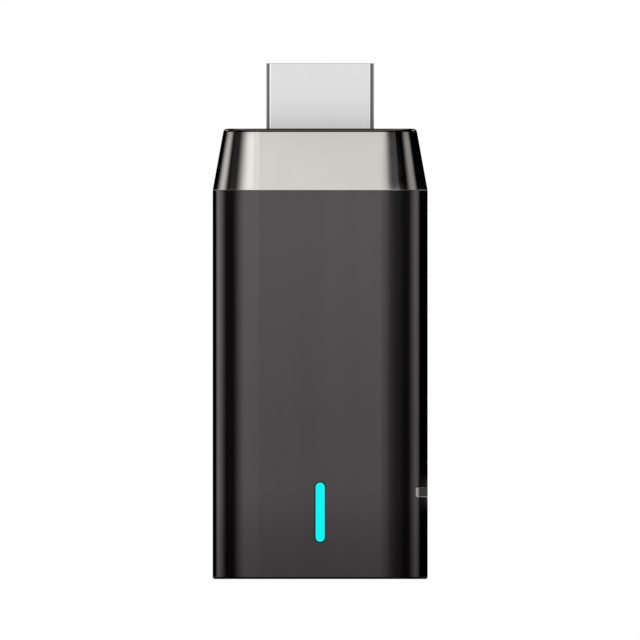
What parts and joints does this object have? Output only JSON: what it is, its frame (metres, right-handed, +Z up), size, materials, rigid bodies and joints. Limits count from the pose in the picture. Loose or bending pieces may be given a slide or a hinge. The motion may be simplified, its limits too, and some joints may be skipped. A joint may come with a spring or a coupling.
{
  "type": "wireless display dongle",
  "caption": "Upright stick with a rounded dark sleeve, a bright tapered shoulder, a flat video plug, a lit front bar and a side key that presses in.",
  "frame": {"origin": "middle of the bottom end, where the part stands", "axes": "+Z up along the body to the plug's tip, -Y out of the lit front, +X to the side with the key"},
  "size_m": [0.0278, 0.013, 0.0665],
  "materials": {
    "sleeve_gloss": "dark metallised gloss",
    "plated": "bright plated gloss",
    "cover_plastic": "fine matt",
    "inner_plastic": "moulded",
    "plug_steel": "nickel plated",
    "socket_steel": "nickel plated",
    "can_steel": "tinned",
    "insulator_plastic": "moulded",
    "contact_gold": "gold plated",
    "board_laminate": "solder resist",
    "chip_resin": "moulded resin",
    "thermal_pad": "soft matt",
    "spreader_metal": "rolled",
    "foam": "open foam",
    "coil_core": "pressed ferrite",
    "ceramic": "fired ceramic",
    "resistor_film": "glazed film",
    "crystal_can": "plated lid",
    "antenna_ceramic": "fired ceramic",
    "led_resin": "clear resin",
    "light_plastic": "lit clear plastic",
    "shroud_rubber": "soft matt",
    "screw_steel": "blackened",
    "dome_steel": "spring sheet",
    "plunger_plastic": "moulded"
  },
  "bodies": {
    "housing": {"body_sleeve": "sleeve_gloss", "shoulder_cap": "plated", "bottom_cover": "cover_plastic", "inner_chassis": "inner_plastic", "plug_bracket": "inner_plastic", "hdmi_plug_shell": "plug_steel", "usb_socket_shell": "socket_steel", "radio_shield_can": "can_steel", "switch_cover": "can_steel", "hdmi_plug_insulator": "insulator_plastic", "usb_socket_tongue": "insulator_plastic", "switch_base": "insulator_plastic", "hdmi_plug_contacts": "contact_gold", "usb_socket_contacts": "contact_gold", "main_board": "board_laminate", "soc_chip": "chip_resin", "memory_chip": "chip_resin", "flash_chip": "chip_resin", "radio_chip": "chip_resin", "power_chip": "chip_resin", "soc_thermal_pad": "thermal_pad", "memory_thermal_pad": "thermal_pad", "heat_spreader": "spreader_metal", "foam_pad": "foam", "power_inductors": "coil_core", "ceramic_capacitors": "ceramic", "chip_resistors": "resistor_film", "crystal": "crystal_can", "main_antenna": "antenna_ceramic", "second_antenna": "antenna_ceramic", "status_led": "led_resin", "light_guide": "light_plastic", "light_shroud": "shroud_rubber", "board_screw_left": "screw_steel", "board_screw_right": "screw_steel", "switch_dome": "dome_steel"},
    "key": {"mode_key": "plated", "switch_plunger": "plunger_plastic"}
  },
  "joints": [
    {"name": "mode_key_press", "type": "slide", "parent": "housing", "child": "key", "axis": [-1, 0, 0], "range_m": [0, 0.00025], "stiffness_N_per_m": 4000, "springref_m": -0.00015}
  ]
}
